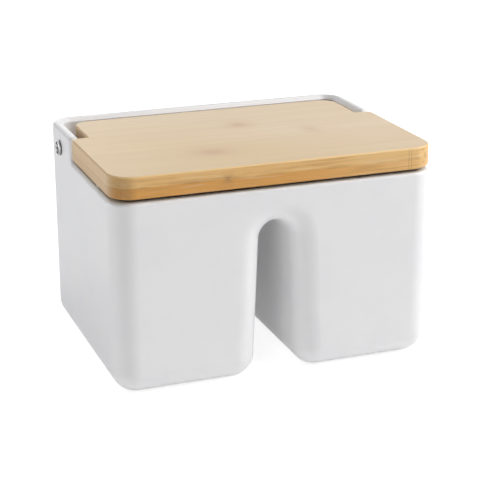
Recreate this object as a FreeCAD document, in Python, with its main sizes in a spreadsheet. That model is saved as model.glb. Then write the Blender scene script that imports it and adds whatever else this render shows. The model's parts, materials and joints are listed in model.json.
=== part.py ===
# Double container: a two-legged ceramic box under one hinged bamboo lid.
# Millimetres. Z is up, the front looks to -Y, and the origin is the middle of the base.
import FreeCAD
import Part
import Sketcher
import math
import os
from types import SimpleNamespace

SIZES = {
    # Ceramic body
    "width": 180,
    "depth": 135,
    "height": 119.5,
    "wall": 6.2,
    "edge_radius": 12.5,
    "lip_radius": 2.2,
    "lip_bevel": 2.2,
    "least_radius": 0.5,
    # Largest share of a wall that its lip's rounding takes
    "lip_share": 0.4,
    # Round-topped slot between the two legs, under a bridge that ends at the rim. Its sides lean
    # outwards by the draft angle
    "bridge_height": 20.2,
    "slot_crown_radius": 8.8,
    "slot_draft": 2.4,
    # Ears that carry the hinge, reaching forward from the back
    "ear_length": 49.5,
    "ear_root_radius": 2.5,
    "ear_top_radius": 3,
    # Lid board of two plies, with a tongue that passes between the ears
    "upper_ply_thickness": 6,
    "lower_ply_thickness": 6,
    "lid_gap": 1.8,
    "lid_setback": 0.4,
    "lid_corner_radius": 12.6,
    "wing_gap": 2,
    "wing_corner_radius": 4,
    "tongue_back_gap": 10,
    "tongue_corner_radius": 9,
    "lid_top_bevel": 0.7,
    "lid_under_bevel": 0.8,
    # Rail under the tongue
    "rail_width": 16,
    "rail_thickness": 10,
    "rail_setback": 1,
    "rail_edge_radius": 2,
    # Hinge axis, screws and bushes
    "hinge_from_back": 27,
    "hinge_below_top": 11,
    "screw_diameter": 4,
    "screw_length": 30,
    "screw_clearance": 0.05,
    "pilot_overdrill": 1,
    "head_diameter": 8.5,
    "head_face_diameter": 6.2,
    "head_side_height": 0.7,
    "head_height": 1.8,
    "head_play": 0.3,
    "cross_span": 4.2,
    "cross_width": 1.1,
    "cross_depth": 1.2,
    "sleeve_diameter": 7,
    "sleeve_clearance": 0.1,
    "sleeve_setback": 0.3,
    "collar_diameter": 12,
    "collar_thickness": 3.4,
    "side_play": 0.4,
    # Soft dots under the sides of the lid
    "bumper_diameter": 4.2,
    "bumper_bevel": 0.5,
    "bumper_clearance": 0.1,
    "bumper_from_front": 34,
    # How far cutting outlines run past what they cut, and how close two places count as one
    "overrun": 10,
    "same_place": 0.001,
}


class Size:
    """A size of the sheet, or a sum of sizes, with both its number and the formula that gives it."""

    def __init__(self, value, formula):
        self.value = value
        self.formula = formula

    def __add__(self, other):
        return combined(self, "+", other, self.value + number(other))

    def __sub__(self, other):
        return combined(self, "-", other, self.value - number(other))

    def __mul__(self, other):
        return combined(self, "*", other, self.value * number(other))

    def __truediv__(self, other):
        return combined(self, "/", other, self.value / number(other))

    def __neg__(self):
        return combined(self, "*", -1, -self.value)


def number(size):
    return size.value if isinstance(size, Size) else size


def formula(size):
    return size.formula if isinstance(size, Size) else str(size)


def combined(first, sign, second, value):
    return Size(value, f"({formula(first)} {sign} {formula(second)})")


def smaller(first, second):
    return Size(min(number(first), number(second)), f"min({formula(first)}; {formula(second)})")


def larger(first, second):
    return Size(max(number(first), number(second)), f"max({formula(first)}; {formula(second)})")


doc = FreeCAD.newDocument("double_container")
sheet = doc.addObject("Spreadsheet::Sheet", "sizes")
for row, (alias, start_value) in enumerate(SIZES.items(), 1):
    sheet.set(f"A{row}", alias)
    sheet.set(f"B{row}", str(start_value))
    sheet.setAlias(f"B{row}", alias)
doc.recompute()
size = SimpleNamespace(**{alias: Size(float(sheet.get(alias)), f"sizes.{alias}") for alias in SIZES})

# Places that several pieces share
hinge_y = size.depth / 2 - size.hinge_from_back
hinge_z = size.height - size.hinge_below_top
ear_front = size.depth / 2 - size.ear_length
ear_inside = size.width / 2 - size.wall
lid_joint = size.height - size.upper_ply_thickness
lid_underside = lid_joint - size.lower_ply_thickness
rim_height = lid_underside - size.lid_gap
slot_height = rim_height - size.bridge_height
lid_side = size.width / 2 - size.lid_setback
lid_front = size.lid_setback - size.depth / 2
wing_back = ear_front - size.wing_gap
tongue_side = ear_inside - size.collar_thickness - size.side_play
tongue_back = size.depth / 2 - size.wall - size.tongue_back_gap
head_seat = size.width / 2 + size.head_play
screw_reach = head_seat - size.screw_length
hole_radius = size.screw_diameter / 2 + size.screw_clearance


def bind(thing, field, value):
    thing.setExpression(field, formula(value))


def new_body(label):
    body = doc.addObject("PartDesign::Body", label)
    body.Label = label
    return body


def sketch_on(body, name, role, offset=None):
    """A sketch on one of the body's own origin planes, moved along the plane's normal by offset."""
    plane = next(feature for feature in body.Origin.OriginFeatures if feature.Role == role)
    sketch = body.newObject("Sketcher::SketchObject", name)
    sketch.AttachmentSupport = [(plane, "")]
    sketch.MapMode = "FlatFace"
    if offset is not None:
        bind(sketch, "AttachmentOffset.Base.z", offset)
    return sketch


def hold(sketch, value, kind, *elements):
    """Adds one measured constraint and binds it to its size."""
    index = sketch.addConstraint(Sketcher.Constraint(kind, *elements, number(value)))
    bind(sketch, f"Constraints[{index}]", value)


def polygon(sketch, corners):
    """A closed outline of straight lines, each corner held at its two signed distances from the origin."""
    points = [FreeCAD.Vector(number(across), number(along), 0) for across, along in corners]
    for index, start in enumerate(points):
        end = points[(index + 1) % len(points)]
        sketch.addGeometry(Part.LineSegment(start, end), False)
    for index, (across, along) in enumerate(corners):
        sketch.addConstraint(Sketcher.Constraint("Coincident", index, 2, (index + 1) % len(corners), 1))
        hold(sketch, across, "DistanceX", -1, 1, index, 1)
        hold(sketch, along, "DistanceY", -1, 1, index, 1)
    return sketch


def rectangle(sketch, left, right, low, high):
    return polygon(sketch, [(left, low), (right, low), (right, high), (left, high)])


def circle(sketch, across, along, radius):
    centre = FreeCAD.Vector(number(across), number(along), 0)
    sketch.addGeometry(Part.Circle(centre, FreeCAD.Vector(0, 0, 1), number(radius)), False)
    hold(sketch, radius, "Radius", 0)
    hold(sketch, across, "DistanceX", -1, 1, 0, 3)
    hold(sketch, along, "DistanceY", -1, 1, 0, 3)
    return sketch


def added(body, kind, name, sketch):
    feature = body.newObject(kind, name)
    feature.Profile = sketch
    sketch.Visibility = False
    body.Tip = feature
    return feature


def pad(body, name, sketch, length, both_ways=False, reverse=False):
    feature = added(body, "PartDesign::Pad", name, sketch)
    feature.Midplane = both_ways
    feature.Reversed = reverse
    bind(feature, "Length", length)
    doc.recompute()


def cut(body, name, sketch, length=None, both_ways=False, reverse=False):
    """A pocket, through everything where no length is given. It has to take material away."""
    before = body.Shape.Volume
    feature = added(body, "PartDesign::Pocket", name, sketch)
    feature.Midplane = both_ways
    feature.Reversed = reverse
    if length is None:
        feature.Type = "ThroughAll"
    else:
        bind(feature, "Length", length)
    doc.recompute()
    if body.Shape.Volume >= before:
        raise RuntimeError(f"{name} cuts nothing from {body.Label}")


def revolve(body, name, sketch):
    """A full turn about the sketch's horizontal axis."""
    feature = added(body, "PartDesign::Revolution", name, sketch)
    feature.ReferenceAxis = (sketch, ["H_Axis"])
    doc.recompute()


def dressed(body, kind, name, chosen):
    """A rounding or bevel on the chosen edges of what the body is so far."""
    edges = [f"Edge{index}" for index, edge in enumerate(body.Shape.Edges, 1) if chosen(edge)]
    if not edges:
        raise RuntimeError(f"{name} finds no edge on {body.Label}")
    base = body.Tip
    feature = body.newObject(kind, name)
    feature.Base = (base, edges)
    body.Tip = feature
    return feature


def round_edges(body, name, radius, chosen):
    """Rounds those edges of the body for which chosen(edge) is true."""
    bind(dressed(body, "PartDesign::Fillet", name, chosen), "Radius", radius)
    doc.recompute()


def bevel_edges(body, name, width, chosen):
    """Bevels those edges of the body for which chosen(edge) is true."""
    bind(dressed(body, "PartDesign::Chamfer", name, chosen), "Size", width)
    doc.recompute()


def places(edge):
    """The two ends and the middle of an edge."""
    middle = edge.valueAt((edge.FirstParameter + edge.LastParameter) / 2)
    return [edge.valueAt(edge.FirstParameter), middle, edge.valueAt(edge.LastParameter)]


def at(edge, axis, place):
    """Whether the whole edge lies at one place along an axis, on either side of the middle."""
    limit = size.same_place.value
    return all(abs(abs(getattr(point, axis)) - abs(number(place))) < limit for point in places(edge))


def upright_at(across, along):
    return lambda edge: at(edge, "x", across) and at(edge, "y", along)


def lengthwise_at(along, height):
    return lambda edge: at(edge, "y", along) and at(edge, "z", height)


def level_at(height):
    return lambda edge: at(edge, "z", height)


def slot_outline(sketch, inset):
    """Leaning sides that run tangent into a round crown, all moved outwards by inset."""
    lean = math.radians(size.slot_draft.value)
    radius = size.slot_crown_radius + inset
    centre_height = slot_height - size.slot_crown_radius
    foot = -size.overrun
    centre = FreeCAD.Vector(0, centre_height.value, 0)
    spring_across = radius.value * math.cos(lean)
    spring_height = centre_height.value + radius.value * math.sin(lean)
    foot_across = spring_across + (spring_height - foot.value) * math.tan(lean)
    right_foot = FreeCAD.Vector(foot_across, foot.value, 0)
    left_foot = FreeCAD.Vector(-foot_across, foot.value, 0)
    right_spring = FreeCAD.Vector(spring_across, spring_height, 0)
    left_spring = FreeCAD.Vector(-spring_across, spring_height, 0)
    crown = Part.Circle(centre, FreeCAD.Vector(0, 0, 1), radius.value)
    sketch.addGeometry(Part.LineSegment(left_foot, right_foot), False)
    sketch.addGeometry(Part.LineSegment(right_foot, right_spring), False)
    sketch.addGeometry(Part.ArcOfCircle(crown, lean, math.pi - lean), False)
    sketch.addGeometry(Part.LineSegment(left_spring, left_foot), False)
    base_line, right_line, crown_arc, left_line = range(4)
    sketch.addConstraint(Sketcher.Constraint("Coincident", base_line, 2, right_line, 1))
    sketch.addConstraint(Sketcher.Constraint("Tangent", right_line, 2, crown_arc, 1))
    sketch.addConstraint(Sketcher.Constraint("Tangent", crown_arc, 2, left_line, 1))
    sketch.addConstraint(Sketcher.Constraint("Coincident", left_line, 2, base_line, 1))
    sketch.addConstraint(Sketcher.Constraint("Symmetric", base_line, 1, base_line, 2, -2))
    sketch.addConstraint(Sketcher.Constraint("PointOnObject", crown_arc, 3, -2))
    hold(sketch, centre_height, "DistanceY", -1, 1, crown_arc, 3)
    hold(sketch, foot, "DistanceY", -1, 1, base_line, 1)
    hold(sketch, radius, "Radius", crown_arc)
    upright = math.pi / 2
    slope = sketch.addConstraint(Sketcher.Constraint("Angle", right_line, 1, base_line, 2, upright - lean))
    sketch.setExpression(f"Constraints[{slope}]", f"(90 - {size.slot_draft.formula}) * 1 deg")
    return sketch


def two_legged_form(body, inset, top, rounded_mouths):
    """The body's outside, or with an inset of the wall its hollow: a rounded box on two legs.

    Every face moves inwards by the inset and every rounding shrinks by it, so the wall that is left between
    the two forms is even, as in a slip-cast pot.
    """
    half_width = size.width / 2 - inset
    half_depth = size.depth / 2 - inset
    plan = rectangle(sketch_on(body, "Plan", "XY_Plane", inset),
                     -half_width, half_width, -half_depth, half_depth)
    pad(body, "Block", plan, top - inset)
    cut(body, "Slot", slot_outline(sketch_on(body, "SlotOutline", "XZ_Plane"), inset), both_ways=True)
    corner = upright_at(half_width, half_depth)
    foot = level_at(inset)

    def mouth(edge):
        """Whether an edge is on the slot's outline in the front or back face."""
        inside = all(abs(point.x) < half_width.value / 2 for point in places(edge))
        return inside and at(edge, "y", half_depth)

    def rounded(edge):
        return corner(edge) or foot(edge) or (rounded_mouths and mouth(edge))

    round_edges(body, "Edges", larger(size.edge_radius - inset, size.least_radius), rounded)


def container_body():
    hollow = new_body("container_hollow")
    two_legged_form(hollow, size.wall, size.height + size.overrun, rounded_mouths=False)

    body = new_body("container_body")
    two_legged_form(body, 0, size.height, rounded_mouths=True)
    above_rim = rectangle(sketch_on(body, "AboveRim", "YZ_Plane"), -size.depth, ear_front,
                          rim_height, size.height + size.overrun)
    cut(body, "RimCut", above_rim, both_ways=True)
    round_edges(body, "EarRoots", size.ear_root_radius, lengthwise_at(ear_front, rim_height))
    round_edges(body, "EarTops", size.ear_top_radius, lengthwise_at(ear_front, size.height))
    hollowing = body.newObject("PartDesign::Boolean", "Hollowing")
    hollowing.Type = "Cut"
    hollowing.setObjects([hollow])
    body.Tip = hollowing
    doc.recompute()

    def lip(edge):
        """Whether an edge runs along the rim, and does not cross the wall."""
        limit = size.same_place.value
        crosses_wall = abs(edge.Length - size.wall.value) < limit
        return not crosses_wall and all(point.z > rim_height.value - limit for point in places(edge))

    def inner_lip(edge):
        """Whether an edge of the rim is on the inside of the wall, as its middle shows."""
        middle = places(edge)[1]
        beside_wall = abs(middle.x) < size.width.value / 2 - size.wall.value / 2
        return lip(edge) and beside_wall and abs(middle.y) < size.depth.value / 2 - size.wall.value / 2

    def outer_lip(edge):
        return lip(edge) and not inner_lip(edge)

    round_edges(body, "OuterLip", smaller(size.lip_radius, size.wall * size.lip_share), outer_lip)
    bevel_edges(body, "InnerLip", smaller(size.lip_bevel, size.wall * size.lip_share), inner_lip)
    hole = circle(sketch_on(body, "EarHole", "YZ_Plane"), hinge_y, hinge_z,
                  size.sleeve_diameter / 2 + size.sleeve_clearance)
    cut(body, "EarHoles", hole, both_ways=True)
    return body


def lid_ply(label, underside, thickness):
    """One layer of the board: a wide part flush with the body, and a tongue between the ears."""
    body = new_body(label)
    outline = polygon(sketch_on(body, "Outline", "XY_Plane", underside), [
        (-lid_side, lid_front), (lid_side, lid_front), (lid_side, wing_back), (tongue_side, wing_back),
        (tongue_side, tongue_back), (-tongue_side, tongue_back),
        (-tongue_side, wing_back), (-lid_side, wing_back),
    ])
    pad(body, "Board", outline, thickness)
    round_edges(body, "FrontCorners", size.lid_corner_radius, upright_at(lid_side, lid_front))
    round_edges(body, "WingCorners", size.wing_corner_radius, upright_at(lid_side, wing_back))
    round_edges(body, "TongueCorners", size.tongue_corner_radius, upright_at(tongue_side, tongue_back))
    return body


def drill_for_screws(body):
    """A blind hole from each end, up to just past the screw's tip."""
    bottom = screw_reach - size.pilot_overdrill
    for name, place, towards_right in (("RightHole", bottom, True), ("LeftHole", -bottom, False)):
        hole = circle(sketch_on(body, f"{name}Outline", "YZ_Plane", place), hinge_y, hinge_z, hole_radius)
        cut(body, name, hole, reverse=towards_right)


def lid_upper_ply():
    body = lid_ply("lid_upper_ply", lid_joint, size.upper_ply_thickness)
    bevel_edges(body, "TopEdge", size.lid_top_bevel, level_at(size.height))
    return body


def lid_lower_ply():
    body = lid_ply("lid_lower_ply", lid_underside, size.lower_ply_thickness)
    bevel_edges(body, "UnderEdge", size.lid_under_bevel, level_at(lid_underside))
    drill_for_screws(body)
    return body


def lid_hinge_rail():
    """The batten that gives the screws wood to bite in, centred on the hinge."""
    body = new_body("lid_hinge_rail")
    underside = lid_underside - size.rail_thickness
    section = rectangle(sketch_on(body, "Section", "YZ_Plane"), hinge_y - size.rail_width / 2,
                        hinge_y + size.rail_width / 2, underside, lid_underside)
    pad(body, "Batten", section, (tongue_side - size.rail_setback) * 2, both_ways=True)
    round_edges(body, "UnderEdge", size.rail_edge_radius, level_at(underside))
    drill_for_screws(body)
    return body


def place_on_hinge(body, side, distance):
    """Moves a piece made about the X axis onto the hinge, at a distance to the right or left."""
    turn = FreeCAD.Rotation(FreeCAD.Vector(0, 0, 1), 180 if side < 0 else 0)
    body.Placement = FreeCAD.Placement(FreeCAD.Vector(), turn)
    bind(body, "Placement.Base.x", distance * side)
    bind(body, "Placement.Base.y", hinge_y)
    bind(body, "Placement.Base.z", hinge_z)
    doc.recompute()


def hinge_screw(label, side):
    """A pan-head screw with a cross recess, its head seat at its own origin and its head towards +X."""
    body = new_body(label)
    shank = size.screw_diameter / 2
    head = size.head_diameter / 2
    face = size.head_face_diameter / 2
    profile = polygon(sketch_on(body, "Profile", "XY_Plane"), [
        (size.head_height, 0), (size.head_height, face), (size.head_side_height, head), (0, head), (0, shank),
        (-size.screw_length, shank), (-size.screw_length, 0),
    ])
    revolve(body, "Turned", profile)
    long = size.cross_span / 2
    short = size.cross_width / 2
    cross = polygon(sketch_on(body, "Cross", "YZ_Plane", size.head_height), [
        (long, -short), (long, short), (short, short), (short, long), (-short, long), (-short, short),
        (-long, short), (-long, -short), (-short, -short), (-short, -long), (short, -long), (short, -short),
    ])
    cut(body, "CrossRecess", cross, size.cross_depth)
    place_on_hinge(body, side, head_seat)
    return body


def hinge_bush(label, side):
    """A sleeve in the ear's hole with a collar that fills the gap to the lid, its seat at its own origin."""
    body = new_body(label)
    sleeve = size.sleeve_diameter / 2
    collar = size.collar_diameter / 2
    sleeve_end = size.wall - size.sleeve_setback
    profile = polygon(sketch_on(body, "Profile", "XY_Plane"), [
        (-size.collar_thickness, hole_radius), (-size.collar_thickness, collar), (0, collar), (0, sleeve),
        (sleeve_end, sleeve), (sleeve_end, hole_radius),
    ])
    revolve(body, "Turned", profile)
    place_on_hinge(body, side, ear_inside)
    return body


def lid_bumper(label, side):
    """A soft dot stuck under the lid, over the middle of the rim at one side."""
    body = new_body(label)
    dot = circle(sketch_on(body, "Dot", "XY_Plane"), 0, 0, size.bumper_diameter / 2)
    height = size.lid_gap - size.bumper_clearance
    pad(body, "Disc", dot, height, reverse=True)
    bevel_edges(body, "Edge", size.bumper_bevel, level_at(height))
    bind(body, "Placement.Base.x", (size.width / 2 - size.wall / 2) * side)
    bind(body, "Placement.Base.y", size.bumper_from_front - size.depth / 2)
    bind(body, "Placement.Base.z", lid_underside)
    doc.recompute()
    return body


sub_parts = [container_body(), lid_upper_ply(), lid_lower_ply(), lid_hinge_rail()]
for side_name, side in (("left", -1), ("right", 1)):
    sub_parts.append(hinge_screw(f"{side_name}_hinge_screw", side))
    sub_parts.append(hinge_bush(f"{side_name}_hinge_bush", side))
    sub_parts.append(lid_bumper(f"{side_name}_lid_bumper", side))
doc.recompute()

for thing in doc.Objects:
    if "Invalid" in thing.State or "Error" in thing.State:
        raise RuntimeError(f"{thing.Label} did not build: {thing.State}")
for piece in sub_parts:
    if piece.Shape.isNull() or not piece.Shape.isValid() or len(piece.Shape.Solids) != 1:
        raise RuntimeError(f"{piece.Label} is not one valid solid")

os.makedirs("parts", exist_ok=True)
for piece in sub_parts:
    piece.Shape.exportStep(f"parts/{piece.Label}.step")
    box = piece.Shape.BoundBox
    print(f"{piece.Label}: {box.XLength:.1f} x {box.YLength:.1f} x {box.ZLength:.1f} mm, "
          f"{piece.Shape.Volume / 1000:.2f} cm3")
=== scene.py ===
# %% [markdown]
# # A two-legged ceramic box under one bamboo lid
#
# This lesson dresses a finished CAD model. The model brings every piece at its real size, and the hinge
# that joins the lid to the box. What is left for Blender is the camera, the light, the finish of every
# surface, and the small pieces whose shape is too fine for the CAD model. Lengths are in metres, +Z is
# up, and the front of the box looks towards -Y.

# %% Load the frame
import json
import math

import bpy
import numpy as np
from mathutils import Matrix, Vector


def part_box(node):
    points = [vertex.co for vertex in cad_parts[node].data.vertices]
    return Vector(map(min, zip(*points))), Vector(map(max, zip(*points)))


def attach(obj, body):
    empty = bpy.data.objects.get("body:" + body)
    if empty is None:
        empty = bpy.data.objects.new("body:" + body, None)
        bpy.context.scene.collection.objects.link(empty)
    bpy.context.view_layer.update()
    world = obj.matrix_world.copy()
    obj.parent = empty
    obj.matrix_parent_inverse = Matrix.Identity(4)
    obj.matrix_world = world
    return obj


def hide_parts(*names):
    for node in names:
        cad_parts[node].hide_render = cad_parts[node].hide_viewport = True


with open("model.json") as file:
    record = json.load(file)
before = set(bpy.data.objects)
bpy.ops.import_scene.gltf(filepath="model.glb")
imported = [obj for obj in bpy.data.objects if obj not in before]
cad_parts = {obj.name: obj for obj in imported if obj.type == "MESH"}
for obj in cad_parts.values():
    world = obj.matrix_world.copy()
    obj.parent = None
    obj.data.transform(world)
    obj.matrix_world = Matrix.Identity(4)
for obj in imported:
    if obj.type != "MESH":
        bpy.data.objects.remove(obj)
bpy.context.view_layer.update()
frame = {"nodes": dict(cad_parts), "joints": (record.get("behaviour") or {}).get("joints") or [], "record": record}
print("nodes:", ", ".join(sorted(frame["nodes"])))

# %% [markdown]
# ## The camera
#
# The picture was taken from the front left and a little above, with a long lens. A camera can be placed
# by eye, but a fitted one saves hours: the place, the turn and the focal length below make the box's
# known edges fall on the edges in the photograph. The focal length is kept in pixels of a 485 pixel wide
# picture, which is how such a fit gives it, and becomes millimetres on Blender's 36 mm sensor.

# %% Camera
PICTURE_WIDTH_PX = 485
FOCAL_LENGTH_PX = 1444.33
SENSOR_WIDTH_MM = 36
CAMERA_PLACE = Vector((-0.268392, -0.727921, 0.321382))
CAMERA_YAW = math.radians(20.508)
CAMERA_PITCH = math.radians(19.001)
CAMERA_ROLL = math.radians(-0.107)


def photo_camera():
    """A camera that looks along +Y, turned right by the yaw, tilted down by the pitch and rolled."""
    lens = bpy.data.cameras.new("photo_camera")
    lens.sensor_fit = "HORIZONTAL"
    lens.sensor_width = SENSOR_WIDTH_MM
    lens.lens = SENSOR_WIDTH_MM * FOCAL_LENGTH_PX / PICTURE_WIDTH_PX
    camera = bpy.data.objects.new("photo_camera", lens)
    turn = Matrix.Rotation(-CAMERA_YAW, 4, "Z")
    tilt = Matrix.Rotation(math.pi / 2 - CAMERA_PITCH, 4, "X")
    roll = Matrix.Rotation(CAMERA_ROLL, 4, "Z")
    camera.matrix_world = Matrix.Translation(CAMERA_PLACE) @ turn @ tilt @ roll
    bpy.context.scene.collection.objects.link(camera)
    bpy.context.scene.camera = camera
    return camera


camera = photo_camera()
print(f"camera: {camera.data.lens:.1f} mm lens, {camera.location.length:.3f} m from the middle of the base")

# %% [markdown]
# ## Shader maths as Python expressions
#
# A material is a graph of nodes, and a graph written node by node is long and hard to read. Two small
# classes make it short. A Field wraps one socket, and arithmetic on Fields adds Math nodes, so a mask can
# be written as 1 - edge * 2. A Finish holds one material's tree, and its one method add makes any other
# node from its type, its settings and the values or links of its sockets.

# %% Fields and finishes


class Field:
    """One socket of a node tree. Arithmetic on it adds the Math node that works the result out."""

    def __init__(self, finish, socket):
        self.finish = finish
        self.socket = socket

    def maths(self, operation, *numbers):
        return self.finish.maths(operation, self, *numbers)

    def __add__(self, other):
        return self.maths("ADD", other)

    def __radd__(self, other):
        return self.maths("ADD", other)

    def __sub__(self, other):
        return self.maths("SUBTRACT", other)

    def __rsub__(self, other):
        return self.finish.maths("SUBTRACT", other, self)

    def __mul__(self, other):
        return self.maths("MULTIPLY", other)

    def __rmul__(self, other):
        return self.maths("MULTIPLY", other)

    def __truediv__(self, other):
        return self.maths("DIVIDE", other)

    def __rtruediv__(self, other):
        return self.finish.maths("DIVIDE", other, self)

    def __pow__(self, other):
        return self.maths("POWER", other)


class Finish:
    """The node tree of one material or of the world."""

    def __init__(self, tree):
        self.tree = tree
        self.tree.nodes.clear()

    def add(self, kind, settings=None, sockets=None, output=0):
        """Adds a node: its settings first, then its sockets' values or links. Returns one output."""
        node = self.tree.nodes.new(kind)
        for name, value in (settings or {}).items():
            setattr(node, name, value)
        for name, value in (sockets or {}).items():
            if isinstance(value, Field):
                self.tree.links.new(value.socket, node.inputs[name])
            else:
                node.inputs[name].default_value = value
        return Field(self, node.outputs[output]) if node.outputs else node

    def maths(self, operation, *numbers):
        return self.add("ShaderNodeMath", {"operation": operation}, dict(enumerate(numbers)))

    def blend(self, first, second, amount):
        """A colour between two colours. The amount is a number or a Field from 0 to 1."""
        settings = {"data_type": "RGBA", "clamp_factor": True}
        sockets = {0: amount, 6: opaque(first), 7: opaque(second)}
        return self.add("ShaderNodeMix", settings, sockets, output=2)

    def ramp(self, amount, low, high):
        """A smooth step: 0 where the amount is below low, 1 where it is above high."""
        sockets = {"Value": amount, "From Min": low, "From Max": high}
        return self.add("ShaderNodeMapRange", {"interpolation_type": "SMOOTHSTEP"}, sockets)

    def fall(self, amount, low, high):
        """A ramp turned round: 1 where the amount is below low, 0 where it is above high."""
        return 1 - self.ramp(amount, low, high)

    def place(self):
        """The three coordinates of a point in the piece's own frame, in metres."""
        point = self.add("ShaderNodeTexCoord", output="Object")
        return [self.add("ShaderNodeSeparateXYZ", None, {0: point}, axis) for axis in "XYZ"]

    def facing(self):
        """The three parts of the surface's direction in the piece's own frame."""
        direction = self.add("ShaderNodeTexCoord", output="Normal")
        return [self.add("ShaderNodeSeparateXYZ", None, {0: direction}, axis) for axis in "XYZ"]

    def point(self, x, y, z):
        return self.add("ShaderNodeCombineXYZ", None, {0: x, 1: y, 2: z})

    def noise(self, vector, scale=1, detail=2, roughness=0.5):
        sockets = {"Vector": vector, "Scale": scale, "Detail": detail, "Roughness": roughness}
        return self.add("ShaderNodeTexNoise", None, sockets)

    def bump(self, height, strength, distance, normal=None):
        sockets = {"Height": height, "Strength": strength, "Distance": distance}
        if normal is not None:
            sockets["Normal"] = normal
        return self.add("ShaderNodeBump", None, sockets)


def opaque(colour):
    """Adds a full alpha to a colour of three numbers. A Field stays as it is."""
    return (*colour, 1) if isinstance(colour, tuple) else colour


def new_finish(name):
    material = bpy.data.materials.new(name)
    material.use_nodes = True
    return material, Finish(material.node_tree)


def principled(finish, sockets):
    """Ends a material's tree with one Principled shader."""
    shader = finish.add("ShaderNodeBsdfPrincipled", None, sockets)
    finish.add("ShaderNodeOutputMaterial", None, {"Surface": shader})


print("shader helpers ready")

# %% [markdown]
# ## White surroundings
#
# The box stands on white, with next to no shadow. Turning the lamps up until the floor burns out would
# burn the ceramic out as well. So the world and the floor answer a ray by its kind. The camera, and a ray
# that comes through glass, sees a white world. A mirrored ray sees a dimmer one, which gives the steel
# its contrast, and a ray that carries light finds almost nothing there. The floor is pale paint with a
# glow. For other rays the glow is weak, and lights the box a little from below as a pale table does. For
# the camera it is strong, and it grows to full white a metre away, so that only the floor close to the
# box shows a shadow.

# %% World and floor
AMBIENT_LEVEL = 0.01
MIRRORED_LEVEL = 0.45
FLOOR_PAINT = (0.80, 0.80, 0.80)
FLOOR_GLOW = 0.72
FLOOR_LIGHT = 0.24
FLOOR_HALF_WIDTH = 3.0
FLOOR_DROP = 0.0002
SHADOW_REACH = 0.35
WHITE_BEYOND = 1.0


def ray_is(finish, kind):
    """1 for a ray of one kind, such as Camera or Glossy, and 0 for any other."""
    return finish.add("ShaderNodeLightPath", output=f"Is {kind} Ray")


def seen_directly(finish):
    return ray_is(finish, "Camera").maths("MAXIMUM", ray_is(finish, "Transmission"))


def white_world():
    world = bpy.data.worlds.new("white_surroundings")
    world.use_nodes = True
    bpy.context.scene.world = world
    finish = Finish(world.node_tree)
    seen = seen_directly(finish)
    mirrored = ray_is(finish, "Glossy") * (1 - seen)
    level = seen + mirrored * MIRRORED_LEVEL + (1 - seen - mirrored) * AMBIENT_LEVEL
    light = finish.add("ShaderNodeBackground", None, {"Color": level, "Strength": 1})
    finish.add("ShaderNodeOutputWorld", None, {"Surface": light})


def floor_paint():
    """Diffuse paint with a glow on top, strong for the camera and weak for other rays."""
    material, finish = new_finish("floor_paint")
    seen = seen_directly(finish)
    x, y, _ = finish.place()
    far = finish.ramp((x * x + y * y) ** 0.5, SHADOW_REACH, WHITE_BEYOND)
    level = seen * (FLOOR_GLOW + far * (1 - FLOOR_GLOW)) + (1 - seen) * FLOOR_LIGHT
    paint = finish.add("ShaderNodeBsdfDiffuse", None, {"Color": opaque(FLOOR_PAINT)})
    glow = finish.add("ShaderNodeEmission", None, {"Color": level, "Strength": 1})
    lit = finish.add("ShaderNodeAddShader", None, {0: paint, 1: glow})
    finish.add("ShaderNodeOutputMaterial", None, {"Surface": lit})
    return material


def pale_floor():
    """One large square just under the standing faces."""
    turns = [(-1, -1), (1, -1), (1, 1), (-1, 1)]
    corners = [(FLOOR_HALF_WIDTH * x, FLOOR_HALF_WIDTH * y, -FLOOR_DROP) for x, y in turns]
    mesh = bpy.data.meshes.new("floor")
    mesh.from_pydata(corners, [], [(0, 1, 2, 3)])
    mesh.materials.append(floor_paint())
    floor = bpy.data.objects.new("floor", mesh)
    bpy.context.scene.collection.objects.link(floor)


white_world()
pale_floor()
print("white surroundings: ambient level", AMBIENT_LEVEL)

# %% [markdown]
# ## Soft studio light
#
# The ceramic's own shading tells how it was lit. The edges that turn to the right are almost white, the
# left side is a little darker than the front, and the rounded corner between them is the darkest band of
# all. So most of the light comes from the right, from one low and one high panel. Two panels behind the
# box light the lid and the far end of the slot, a slightly cool one at the left rear lights the left
# side, and a weak fill at the left front reaches the dark corner. Each lamp is a soft square panel on a
# sphere round the box.

# %% Lamps
PANEL_DISTANCE = 1.5
NEUTRAL = (1, 1, 1)
COOL = (0.955, 0.965, 1)
# Each panel has a compass direction in degrees (0 is the front, 90 the right), a height above the floor
# in degrees, a width in metres, a power in watts and a tint
PANELS = {
    "right_panel": (70, 30, 1.0, 14.2, NEUTRAL),
    "right_high_panel": (70, 60, 1.0, 11.0, NEUTRAL),
    "rear_high_panel": (180, 50, 1.0, 4.8, NEUTRAL),
    "rear_panel": (180, 8, 0.7, 2.8, NEUTRAL),
    "left_front_panel": (320, 10, 0.7, 5.2, NEUTRAL),
    "left_rear_panel": (240, 8, 0.7, 7.8, COOL),
}


def panel(name, compass, height, width, power, tint):
    """A square area lamp on a sphere round the box, turned to face it."""
    compass = math.radians(compass)
    height = math.radians(height)
    level = math.cos(height)
    direction = Vector((level * math.sin(compass), -level * math.cos(compass), math.sin(height)))
    lamp = bpy.data.lights.new(name, "AREA")
    lamp.size = width
    lamp.energy = power
    lamp.color = tint
    thing = bpy.data.objects.new(name, lamp)
    thing.location = PANEL_DISTANCE * direction
    thing.rotation_euler = (-direction).to_track_quat("-Z", "Y").to_euler()
    bpy.context.scene.collection.objects.link(thing)


for name, setting in PANELS.items():
    panel(name, *setting)
bpy.context.scene.view_settings.view_transform = "Standard"
print("lamps:", ", ".join(PANELS))

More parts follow.
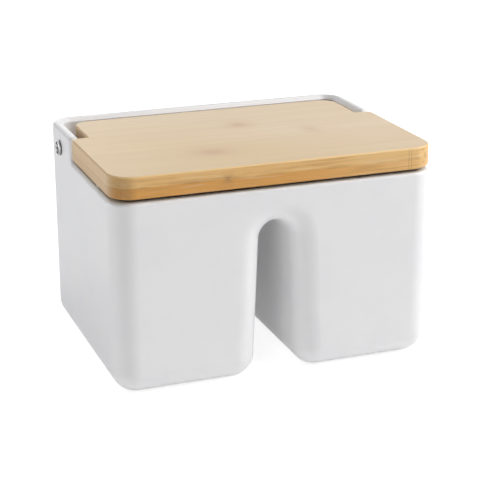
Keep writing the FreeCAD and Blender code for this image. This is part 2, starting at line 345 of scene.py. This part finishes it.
# %% [markdown]
# ## The glaze
#
# The box is slip-cast: liquid clay is poured into a plaster mould, which gives the even wall and the
# large roundings, and the piece is dipped in a white satin glaze. The glaze isn't one flat white. It
# flows a little while it melts, so its surface has a faint long ripple and a finer orange peel, and it is
# a trace thicker in some places. The faces that it stands on in the kiln are wiped clean, so the bare
# clay shows there as a thin grey line, which is made darker with painted contact shade. All of this
# comes from noise on the piece's own coordinates, so it stays put in every view and pose.

# %% Ceramic finish
GLAZE_WHITE = (0.839, 0.834, 0.838)
GLAZE_POOLED = (0.804, 0.808, 0.826)
POOLED_SHARE = 0.6
BARE_CLAY_AND_SHADE = (0.36, 0.345, 0.32)
GRIT_LEVEL = 0.86
BARE_HEIGHT = 0.0010
GLAZE_START = 0.0019
SATIN_ROUGHNESS = 0.27
SATIN_SPREAD = 0.08
BARE_ROUGHNESS = 0.5


def shade(colour, level):
    """A colour of three numbers, made lighter or darker by one factor."""
    return tuple(level * part for part in colour)


def ceramic_finish():
    """Satin glaze with pools, ripple and orange peel, and gritty bare clay at the foot, darkened as painted
    contact shade.
    """
    material, finish = new_finish("satin_glaze")
    x, y, z = finish.place()
    here = finish.point(x, y, z)
    pooled = finish.ramp(finish.noise(here, scale=38, detail=3), low=0.42, high=0.66)
    glaze = finish.blend(GLAZE_WHITE, GLAZE_POOLED, pooled * POOLED_SHARE)
    grit = finish.noise(here, scale=2600, detail=3)
    # The foot line: bare clay, made darker with painted contact shade
    clay = finish.blend(BARE_CLAY_AND_SHADE, shade(BARE_CLAY_AND_SHADE, GRIT_LEVEL), grit)
    foot_clay_and_shade = finish.fall(z, BARE_HEIGHT, GLAZE_START)
    ripple = finish.noise(here, scale=30, detail=1)
    peel = finish.noise(here, scale=900)
    surface = finish.bump(ripple, strength=0.10, distance=0.0012)
    satin = SATIN_ROUGHNESS + finish.noise(here, scale=70) * SATIN_SPREAD
    principled(finish, {
        "Base Color": finish.blend(glaze, clay, foot_clay_and_shade),
        "Roughness": satin + foot_clay_and_shade * BARE_ROUGHNESS,
        "Normal": finish.bump(peel, strength=0.05, distance=0.00008, normal=surface),
    })
    return material


ceramic = ceramic_finish()
print("glaze:", len(ceramic.node_tree.nodes), "nodes")

# %% [markdown]
# ## Bamboo strips and cuts
#
# The lid is glued up from bamboo strips in two plies. Its broad face is pale, its long edges show the
# strips' sides, which are yellower on the upper ply and more orange on the lower one, and its ends show
# cut fibres. The surface's direction says which cut a point is on. The fibres are noise that is drawn out
# along the strip, and every strip gets its own part of the noise, so no line runs on across a glue line.

# %% Bamboo strips and cuts
lid_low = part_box("lid_upper_ply")[0]
STRIP_WIDTH = 0.0228
# The strips start a hair in front of the lid, so that rounding can't put its front edge in another strip
FRONT_MARGIN = 0.00001
STRIPS_START = lid_low.y - FRONT_MARGIN
STRIP_SHIFT = 9
FIBRE_ROUGHNESS = 0.55
NOT_ZERO = 0.001


def strip_numbers(finish, y):
    """A random number for the strip that a point is in, and the distance to the strip's nearer side."""
    place = (y - STRIPS_START) / STRIP_WIDTH
    along = place.maths("FRACT")
    number = finish.point(place.maths("FLOOR"), 0, 0)
    own = finish.add("ShaderNodeTexWhiteNoise", {"noise_dimensions": "2D"}, {"Vector": number})
    return own, along.maths("MINIMUM", 1 - along) * STRIP_WIDTH


def drawn_out_noise(finish, place, own, length, thickness, detail=2):
    """Noise whose marks have a length along the strip and a thickness across it, in metres."""
    x, y, z = place
    stretched = finish.point(x / length + own * STRIP_SHIFT, y / thickness, z / thickness)
    return finish.noise(stretched, detail=detail, roughness=FIBRE_ROUGHNESS)


def cut_masks(finish):
    """Four masks from the surface's direction: broad face, sawn end, darker corner and upper arris.

    The corner is twice the product of the two level parts of the direction where that is above zero,
    so it is 1 in the middle of the left front and the right rear rounding. Its darkness there is partly
    end grain and partly painted shade, and the upper arris carries a painted highlight.
    """
    facing_x, facing_y, facing_z = finish.facing()
    across = facing_x.maths("ABSOLUTE")
    along = facing_y.maths("ABSOLUTE")
    face = finish.ramp(facing_z.maths("ABSOLUTE"), low=0.78, high=0.97)
    end = finish.ramp(across / (across + along + NOT_ZERO), low=0.50, high=0.85)
    corner = (facing_x * facing_y).maths("MAXIMUM", 0) * 2
    arris = finish.ramp(facing_z, low=0.30, high=0.60) * (1 - face)
    return face, end, corner, arris


print(f"strips of {STRIP_WIDTH * 1000:.1f} mm")

# %% [markdown]
# ## Marks in the bamboo
#
# A bamboo stalk has a knuckle every hand's breadth or so. On the broad face a sanded knuckle is a soft
# pinkish or brown patch. Where one lies in the front edge the fibres part round it, which leaves two
# short crossed strokes. The plies' joint shows as a thin brown line in some places only, and near the
# right end of the front edge thin upright lines show where strips meet end to end. They could be painted
# on a picture of the board, but sums of soft spots and smooth steps need no picture and stay sharp.

# %% Marks in the bamboo
# Where each knuckle lies on the broad face (across and along), its half length, half width and strength
KNUCKLES = [
    (-0.0262, -0.0365, 0.0110, 0.0085, 0.95),
    (0.0060, 0.0128, 0.0080, 0.0070, 0.90),
    (0.0405, -0.0100, 0.0060, 0.0080, 0.60),
]
EDGE_KNUCKLE = -0.0290
STROKE_LENGTH = 0.0046
STROKE_WIDTH = 0.0024
PLY_JOINT_HEIGHT = lid_low.z
PLY_JOINT_CORE = 0.0001
PLY_JOINT_WIDTH = 0.0008
STAIN_LENGTH = 0.020
STAIN_FADE = 0.6
# Where strips meet end to end in the front edge
BUTT_JOINTS = [0.0732, 0.0747]
BUTT_JOINT_WIDTH = 0.0005


def soft_spot(across, along):
    """One over the square of one plus the squared distance: 1 in the middle, soft towards 0 outside."""
    return 1 / (1 + across * across + along * along) ** 2


def knuckle_marks(x, y):
    marks = 0
    for across, along, half_length, half_width, strength in KNUCKLES:
        marks = soft_spot((x - across) / half_length, (y - along) / half_width) * strength + marks
    return marks


def edge_knuckle(x, z):
    """Two strokes that cross at the plies' joint."""
    across = x - EDGE_KNUCKLE
    up = z - PLY_JOINT_HEIGHT
    rising = soft_spot((across + up) / STROKE_LENGTH, (across - up) / STROKE_WIDTH)
    falling = soft_spot((across - up) / STROKE_LENGTH, (across + up) / STROKE_WIDTH)
    return rising.maths("MAXIMUM", falling)


def ply_joint(finish, x, z):
    """The brown line between the plies, broken up along its length and fainter towards the right."""
    line = finish.fall((z - PLY_JOINT_HEIGHT).maths("ABSOLUTE"), PLY_JOINT_CORE, PLY_JOINT_WIDTH)
    stained = finish.ramp(finish.noise(finish.point(x / STAIN_LENGTH, 0, 0)), low=0.42, high=0.66)
    return line * stained * (1 - finish.ramp(x, low=-0.02, high=0.07) * STAIN_FADE)


def butt_joints(finish, x):
    lines = 0
    for across in BUTT_JOINTS:
        lines = finish.fall((x - across).maths("ABSOLUTE"), 0, BUTT_JOINT_WIDTH) + lines
    return lines


print(len(KNUCKLES) + 1, "knuckles and", len(BUTT_JOINTS), "butt joints")

# %% [markdown]
# ## The colour of each cut
#
# The board has no single tone. Its broad face drifts from yellow at the left front to pale at the right
# rear, and this drift is painted sheen and shade. Some strips are a little darker than others, and the
# fibres lie over it all as fine lines. The long edges have the strongest streaks, and towards the right
# end they turn a brighter gold, which is painted light. The sawn ends show the fibres as dots. A picture
# for every side could give this, but the sides would have to meet at the edges. So each cut gets its own
# short function of the place, which starts from one tone and blends the marks in one after another.

# %% Colours of the cuts
KNUCKLE_BROWN = (0.60, 0.36, 0.22)
EDGE_BROWN = (0.40, 0.22, 0.08)
ROSE_TINT = (0.79, 0.575, 0.41)
STREAK_BROWN = (0.50, 0.27, 0.085)
# Painted light: the gold that the long edges turn towards the right end
RIGHT_LIGHT_GOLD = (0.82, 0.54, 0.23)
# How far the painted sheen and shade lean towards the right
TONE_SLANT = 0.9
PATCH_LENGTH = 0.040
PATCH_WIDTH = 0.016
CUT_FIBRE = 0.0007
LAYER_LENGTH = 0.05
LAYER_THICKNESS = 0.0015


def tint(finish, tone, colour, mask, strength):
    """Blends a colour into a tone where a mask is, at most by the strength."""
    return finish.blend(tone, colour, mask * strength)


def stain(finish, tone, colour, marks, low, high, strength):
    """Tints a tone where the marks rise from low to high."""
    return tint(finish, tone, colour, finish.ramp(marks, low, high), strength)


def along_fibres(marks, fibres, plain, fibrous):
    """Marks with a plain part and a part that follows the fibres."""
    return marks * (plain + fibres * fibrous)


def face_colour(finish, place, own, fibres, front_tone, sheen_back_tone):
    """The broad face: yellower at the left front and paler at the right rear as painted sheen and shade, with
    bands and fibres.
    """
    x, y, _ = place
    bands = drawn_out_noise(finish, place, own, length=0.14, thickness=0.006)
    patches = finish.noise(finish.point(x / PATCH_LENGTH, y / PATCH_WIDTH, 0))
    # Painted sheen and shade: the face turns paler towards the right rear
    tone = finish.blend(front_tone, sheen_back_tone, finish.ramp(y + x * TONE_SLANT, low=-0.062, high=0.035))
    tone = stain(finish, tone, ROSE_TINT, patches, low=0.46, high=0.72, strength=0.30)
    tone = stain(finish, tone, shade(front_tone, 0.88), bands, low=0.40, high=0.74, strength=0.35)
    tone = tint(finish, tone, shade(front_tone, 0.94), own, strength=0.40)
    tone = stain(finish, tone, shade(front_tone, 0.80), fibres, low=0.50, high=0.80, strength=0.16)
    knuckles = along_fibres(knuckle_marks(x, y), fibres, plain=0.45, fibrous=0.50)
    return finish.blend(tone, KNUCKLE_BROWN, knuckles)


def edge_colour(finish, place, own, fibres, tone, pale_tone):
    """The long edge: painted light towards the right end, streaks, the knuckle's crossed strokes, the plies' joint
    and the butt joints.
    """
    x, _, z = place
    streaks = drawn_out_noise(finish, place, own, length=0.032, thickness=0.0016, detail=3)
    # Painted light: the edge turns a brighter gold towards the right end
    colour = stain(finish, tone, RIGHT_LIGHT_GOLD, x, low=0.0, high=0.088, strength=0.65)
    colour = stain(finish, colour, STREAK_BROWN, streaks, low=0.47, high=0.70, strength=0.60)
    colour = tint(finish, colour, pale_tone, finish.fall(streaks, low=0.28, high=0.46), strength=0.75)
    colour = stain(finish, colour, shade(tone, 0.68), fibres, low=0.50, high=0.80, strength=0.40)
    knuckle = along_fibres(edge_knuckle(x, z), fibres, plain=0.45, fibrous=0.70)
    colour = finish.blend(colour, EDGE_BROWN, knuckle)
    colour = tint(finish, colour, shade(tone, 0.50), ply_joint(finish, x, z), strength=0.55)
    return tint(finish, colour, shade(tone, 0.55), butt_joints(finish, x), strength=0.45)


def end_colour(finish, place, tone):
    """The sawn end: cut fibres as small faint dots, in layers."""
    _, y, z = place
    dots = finish.noise(finish.point(0, y / CUT_FIBRE, z / CUT_FIBRE))
    layers = finish.noise(finish.point(0, y / LAYER_LENGTH, z / LAYER_THICKNESS))
    colour = stain(finish, tone, shade(tone, 0.80), dots, low=0.50, high=0.75, strength=0.35)
    return stain(finish, colour, shade(tone, 0.84), layers, low=0.45, high=0.70, strength=0.40)


print("colours for the broad face, the long edge and the sawn end")

# %% [markdown]
# ## The bamboo finish
#
# One finish covers every cut. The face, the edge and the end each get their own colour first, and the
# masks blend the three. A gold line along the upper sanded arris is a painted highlight, and the rounding
# at the left front and the right rear is made darker, partly as end grain and partly as painted shade.
# The wood is oiled and not lacquered, so it is a little rough, and the fibres and the glue lines give a
# fine relief.

# %% Bamboo finish
ARRIS_HIGHLIGHT_GOLD = (0.84, 0.60, 0.29)
GLUE_LINE_WIDTH = 0.00022
HAIR_RELIEF = 0.5
WOOD_ROUGHNESS = 0.40
WOOD_SPREAD = 0.12


def bamboo_finish(name, front_tone, sheen_back_tone, edge_tone, end_tone):
    """Bamboo whose colour depends on the cut: the broad face, the long edge or the sawn end."""
    material, finish = new_finish(name)
    place = finish.place()
    own, from_side = strip_numbers(finish, place[1])
    fibres = drawn_out_noise(finish, place, own, length=0.060, thickness=0.0010, detail=3)
    hairs = drawn_out_noise(finish, place, own, length=0.014, thickness=0.0003)
    glue = finish.fall(from_side, 0, GLUE_LINE_WIDTH)
    face, end, corner, arris = cut_masks(finish)
    broad = face_colour(finish, place, own, fibres, front_tone, sheen_back_tone)
    broad = tint(finish, broad, shade(edge_tone, 0.60), glue, strength=0.20)
    side = edge_colour(finish, place, own, fibres, edge_tone, shade(front_tone, 0.94))
    side = finish.blend(side, end_colour(finish, place, end_tone), end)
    # Partly end grain and partly painted shade: the rounding at the left front and the right rear is darker
    side = tint(finish, side, shade(edge_tone, 0.52), corner, strength=0.55)
    # Painted highlight: the upward-facing arris turns gold on the edges and plain end tone on the ends
    side = tint(finish, side, ARRIS_HIGHLIGHT_GOLD, arris * (1 - end), strength=0.60)
    side = tint(finish, side, end_tone, arris * end, strength=0.80)
    tone = finish.blend(side, broad, face)
    tone = stain(finish, tone, shade(edge_tone, 0.75), hairs, low=0.55, high=0.80, strength=0.12)
    relief = fibres - hairs * HAIR_RELIEF - glue * face
    principled(finish, {
        "Base Color": tone,
        "Roughness": WOOD_ROUGHNESS + fibres * WOOD_SPREAD,
        "Normal": finish.bump(relief, strength=0.15, distance=0.00012),
    })
    return material


# The paler back tone of the upper ply is painted sheen; the lower ply has none
bamboo_upper = bamboo_finish(
    "pale_bamboo",
    front_tone=(0.775, 0.597, 0.374),
    sheen_back_tone=(0.815, 0.668, 0.498),
    edge_tone=(0.75, 0.455, 0.170),
    end_tone=(0.70, 0.488, 0.268),
)
bamboo_lower = bamboo_finish(
    "warm_bamboo",
    front_tone=(0.70, 0.500, 0.280),
    sheen_back_tone=(0.70, 0.500, 0.280),
    edge_tone=(0.67, 0.325, 0.075),
    end_tone=(0.635, 0.43, 0.225),
)
print("bamboo:", len(bamboo_upper.node_tree.nodes), "nodes in each of two tones")

# %% [markdown]
# ## Steel, nylon and silicone
#
# The small pieces keep plain finishes, but none of them is one flat colour. The screws are turned steel,
# so their roughness follows rings round the axis of the hinge. Their colour carries painted shade in the
# recess and from the foot of the head down the shank, and a painted dark reflection in a ring round the
# face of the head. The bushes are natural white nylon with a dull moulded skin. The dots under the lid
# are soft clear silicone, and their grey-brown colour is painted: the tint of the wood seen through the
# clear silicone, and the shade under the lid.

# %% Steel, nylon and silicone
screw_low, screw_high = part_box("right_hinge_screw")
hinge = Vector(frame["joints"][0]["pos_m"])
HEAD_HEIGHT = 0.0018
HEAD_FACE = screw_high.x
HEAD_SEAT = HEAD_FACE - HEAD_HEIGHT
RECESS_RADIUS = 0.0027
RECESS_BORDER = 0.0003
# Depths below the face of the head where the painted shade in the recess is full and where it has faded out
RECESS_DARK = 0.0010
RECESS_BRIGHT = 0.0002
# Heights above the seat of the head where the painted shade at its foot is full and where it has faded out
FOOT_DARK = 0.0001
FOOT_BRIGHT = 0.0006
# Radius of the ring of painted dark reflection round the face of the head
OUTLINE_RADIUS = 0.0029
RINGS_PER_METRE = 9000
STEEL_BRIGHT = (0.62, 0.62, 0.61)
STEEL_SMUDGED = (0.50, 0.50, 0.50)
STEEL_PAINTED_DARK = (0.02, 0.02, 0.02)
DARK_SHARE = 0.95
STEEL_ROUGHNESS = 0.28
RING_SPREAD = 0.14
DARK_ROUGHNESS = 0.45
MOULDED_SPREAD = 0.1


def steel_painted_dark(finish, out, radius):
    """Painted shade in the recess and from the foot of the head inwards, and a painted dark reflection in a ring
    round the face.
    """
    in_recess = finish.fall(radius, RECESS_RADIUS - RECESS_BORDER, RECESS_RADIUS)
    sunk = finish.fall(out, HEAD_FACE - RECESS_DARK, HEAD_FACE - RECESS_BRIGHT) * in_recess
    ring = finish.fall((radius - OUTLINE_RADIUS).maths("ABSOLUTE"), low=0.0003, high=0.0007)
    foot = finish.fall(out, HEAD_SEAT + FOOT_DARK, HEAD_SEAT + FOOT_BRIGHT)
    return sunk.maths("MAXIMUM", ring).maths("MAXIMUM", foot)


def steel_finish():
    material, finish = new_finish("turned_steel")
    x, y, z = finish.place()
    radius = ((y - hinge.y) ** 2 + (z - hinge.z) ** 2) ** 0.5
    rings = finish.noise(finish.point(radius * RINGS_PER_METRE, 0, 0))
    smudge = finish.noise(finish.point(x, y, z), scale=500)
    # Painted shade and a painted dark reflection, blended into the steel's colour below
    painted_dark = steel_painted_dark(finish, x.maths("ABSOLUTE"), radius)
    bright = finish.blend(STEEL_BRIGHT, STEEL_SMUDGED, smudge)
    principled(finish, {
        "Base Color": finish.blend(bright, STEEL_PAINTED_DARK, painted_dark * DARK_SHARE),
        "Metallic": 1.0,
        "Roughness": STEEL_ROUGHNESS + rings * RING_SPREAD + painted_dark * DARK_ROUGHNESS,
        "Normal": finish.bump(rings, strength=0.08, distance=0.00003),
    })
    return material


def moulded_finish(name, tone, cloud_tone, roughness):
    """A moulded plastic: a cloudy colour and a fine dull grain."""
    material, finish = new_finish(name)
    here = finish.point(*finish.place())
    cloud = finish.noise(here, scale=300, detail=3)
    grain = finish.noise(here, scale=4000)
    principled(finish, {
        "Base Color": finish.blend(tone, cloud_tone, cloud),
        "Roughness": roughness + grain * MOULDED_SPREAD,
        "Normal": finish.bump(grain, strength=0.1, distance=0.00003),
    })
    return material


steel = steel_finish()
nylon = moulded_finish("natural_nylon", (0.80, 0.79, 0.75), (0.74, 0.72, 0.67), roughness=0.45)
# The silicone's grey-brown is painted: the wood's tint seen through it and the shade under the lid
silicone = moulded_finish("clear_silicone", (0.46, 0.42, 0.36), (0.38, 0.34, 0.28), roughness=0.30)
print("steel, nylon and silicone ready")

# %% [markdown]
# ## Dress the CAD pieces
#
# Most pieces of the model already have their true shape, with normals that follow the real curves. They
# only need the new finishes, which go into the slot that each one already has.

# %% Dress the CAD pieces
FINISH_OF_SLOT = {
    "ceramic": ceramic,
    "bamboo_upper": bamboo_upper,
    "bamboo_lower": bamboo_lower,
    "steel": steel,
    "nylon": nylon,
    "silicone": silicone,
}
for part in frame["record"]["subparts"]:
    for holder in frame["nodes"][part["node"]].material_slots:
        holder.material = FINISH_OF_SLOT[part["material_slot"]]

# %% [markdown]
# ## Turned pieces
#
# A screw and a cast dot are round: a profile goes once about an axis. That makes them a grid of points,
# with rings along the profile and angles about the axis. Neighbours in the grid make the faces, the last
# angle joins the first, and a single point closes each end, so the mesh has no open edge. Blender can
# also spin a drawn profile, but on a grid a formula can move every point, which the recess of the screw
# needs. Both pieces have soft shoulders between a box and an ellipse, and a superellipse gives those.

# %% Turned pieces
POINTS_ROUND = 96
FLAT_END_SHARE = 0.2


def superellipse(radius, height, power, steps):
    """Radius and height along a quarter of a superellipse, from just beside the pole out to the rim.

    The radius's share of its whole and the height's share of its whole, each raised to the power,
    add up to one.
    """
    roll = np.linspace(0, math.pi / 2, steps)[1:]
    return radius * np.sin(roll) ** (2 / power), height * np.cos(roll) ** (2 / power)


def turned_mesh(name, points):
    """A mesh from rings of points (ring, angle, xyz). The first and the last ring are closed by a pole."""
    rings, around, _ = points.shape
    poles = points[[0, -1]].mean(axis=1)
    vertices = np.concatenate([points.reshape(-1, 3), poles])
    here = np.arange(around)
    beyond = (here + 1) % around
    faces = []
    for ring in range(rings - 1):
        start = ring * around
        below = start + around
        faces += np.stack([start + here, start + beyond, below + beyond, below + here], axis=1).tolist()
    first_pole = rings * around
    last_ring = first_pole - around
    for near, far in zip(here.tolist(), beyond.tolist()):
        faces.append([first_pole, far, near])
        faces.append([first_pole + 1, last_ring + near, last_ring + far])
    mesh = bpy.data.meshes.new(name)
    mesh.from_pydata(vertices.tolist(), [], faces)
    mesh.polygons.foreach_set("use_smooth", np.ones(len(mesh.polygons), dtype=bool))
    thing = bpy.data.objects.new(name, mesh)
    bpy.context.scene.collection.objects.link(thing)
    return thing


def dress(thing, material, body, node):
    """Gives a new piece its finish, lets it ride on a body and puts it in the place of a CAD piece."""
    thing.data.materials.append(material)
    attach(thing, body)
    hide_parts(node)


print("turned pieces have", POINTS_ROUND, "points in each ring")

# %% [markdown]
# ## The hinge screws
#
# Two pan-head screws go through holes in the ears and hold the lid. The CAD model gives each one a plain
# conical head. The real head was pressed in a die: its rim rolls over softly, and its cross recess has
# sloping walls. Both are easy to write as a formula on the grid of rings and angles. The head's profile is
# a superellipse, and the recess is a depth taken off along the axis.

# %% Hinge screws
HEAD_RADIUS = 0.00425
HEAD_POWER = 3.0
HEAD_STEPS = 60
FACE_STEPS = 30
SHANK_RADIUS = 0.0020
SHANK_LENGTH = HEAD_SEAT - screw_low.x
CROSS_HALF_SPAN = 0.0024
CROSS_HALF_WIDTH = 0.00062
CROSS_DEPTH = 0.0013
CROSS_SLOPE = 0.00030


def smooth_step(amount):
    """Three squares less two cubes of the amount, held between 0 and 1."""
    amount = np.clip(amount, 0, 1)
    return amount * amount * (3 - 2 * amount)


def cross_depth(across, up):
    """How deep the recess is: the deeper of two crossed arms, each a smooth step in from its edges."""
    def arm(along, beside):
        inside = np.minimum(CROSS_HALF_SPAN - np.abs(along), CROSS_HALF_WIDTH - np.abs(beside))
        return smooth_step(inside / CROSS_SLOPE)
    return CROSS_DEPTH * np.maximum(arm(across, up), arm(up, across))


def hinge_screw(name, side):
    """A point for each ring and angle: the profile's radius goes round the hinge axis at the angle.

    Along the axis it lies at the seat of the head plus the profile's height, less the depth of the
    recess. The profile is a flat face, a superellipse head, a flat seat, a straight shank and its flat
    end. The angle runs the other way round on the left, so that the faces look outwards on both sides.
    """
    head_radius, head_height = superellipse(HEAD_RADIUS, HEAD_HEIGHT, HEAD_POWER, HEAD_STEPS)
    face_radius = np.linspace(0, head_radius[0], FACE_STEPS)[1:-1]
    face_height = np.full(face_radius.size, HEAD_HEIGHT)
    shank_radius = [SHANK_RADIUS, SHANK_RADIUS, SHANK_RADIUS * FLAT_END_SHARE]
    shank_height = [0, -SHANK_LENGTH, -SHANK_LENGTH]
    radius = np.concatenate([face_radius, head_radius, shank_radius])
    height = np.concatenate([face_height, head_height, shank_height])
    angle = side * np.linspace(0, 2 * math.pi, POINTS_ROUND, endpoint=False)
    across = radius[:, None] * np.cos(angle)
    up = radius[:, None] * np.sin(angle)
    raised = np.broadcast_to(height[:, None], across.shape)
    sunk = np.where(raised > 0, cross_depth(across, up), 0)
    x = side * (HEAD_SEAT + raised - sunk)
    return turned_mesh(name, np.stack([x, hinge.y + across, hinge.z + up], axis=2))


for name, side in (("left", -1), ("right", 1)):
    screw = hinge_screw(name + "_pan_head_screw", side)
    dress(screw, steel, "lid", name + "_hinge_screw")
    print(screw.name, len(screw.data.polygons), "faces")

# %% [markdown]
# ## The dots under the lid
#
# Something has to keep the closed lid off the glaze, because a dark gap of nearly two millimetres runs
# round it. Stick-on silicone dots do that on lids like this. Each is cast as a low dome with a soft
# shoulder, which is a superellipse turned about an upright axis. The CAD piece's box gives its place,
# its width and its height.

# %% Bumpers
DOT_POWER = 3.4
DOT_STEPS = 24


def bumper(name, node):
    """A dome hanging from the lid: a point for each ring of a superellipse and angle about its axis.

    A point lies out from the upright axis by the dome's radius and below the stuck-on face by the
    dome's drop. The rings go from the tip out to that face, and a last small ring lies on the face.
    """
    low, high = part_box(node)
    middle = (low + high) / 2
    dot_radius = (high.x - low.x) / 2
    dome_radius, dome_drop = superellipse(dot_radius, high.z - low.z, DOT_POWER, DOT_STEPS)
    radius = np.concatenate([dome_radius, [dot_radius * FLAT_END_SHARE]])
    level = np.concatenate([high.z - dome_drop, [high.z]])
    angle = np.linspace(0, 2 * math.pi, POINTS_ROUND, endpoint=False)
    x = middle.x + radius[:, None] * np.cos(angle)
    y = middle.y + radius[:, None] * np.sin(angle)
    z = np.broadcast_to(level[:, None], x.shape)
    return turned_mesh(name, np.stack([x, y, z], axis=2))


for side in ("left", "right"):
    dot = bumper(side + "_silicone_dot", side + "_lid_bumper")
    dress(dot, silicone, "lid", side + "_lid_bumper")
    print(dot.name, len(dot.data.polygons), "faces")
